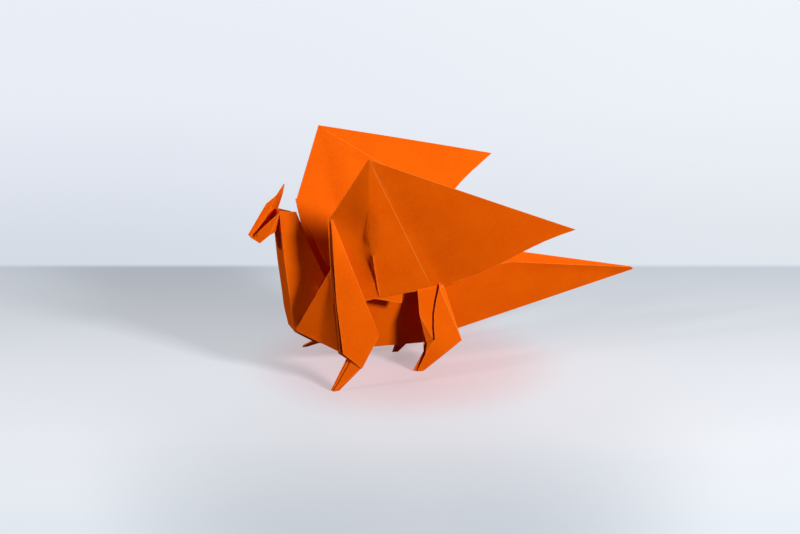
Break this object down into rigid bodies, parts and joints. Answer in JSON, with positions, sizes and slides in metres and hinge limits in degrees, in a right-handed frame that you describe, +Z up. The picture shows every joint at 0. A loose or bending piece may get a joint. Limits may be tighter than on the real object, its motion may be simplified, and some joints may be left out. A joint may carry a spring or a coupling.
{
  "type": "origami dragon",
  "caption": "Dragon folded from one sheet of paper, standing on its legs with raised wings, a channel neck and a long pointed tail.",
  "frame": {"origin": "middle of the model's outline seen from above, on the floor it stands on", "axes": "+X toward the tail tip, head toward -X, +Y across the wings, +Z up"},
  "size_m": [0.2032, 0.0882, 0.1116],
  "materials": {
    "orange_paper": "matte, dyed through"
  },
  "bodies": {
    "root": {"folded_sheet": "orange_paper"}
  },
  "joints": []
}
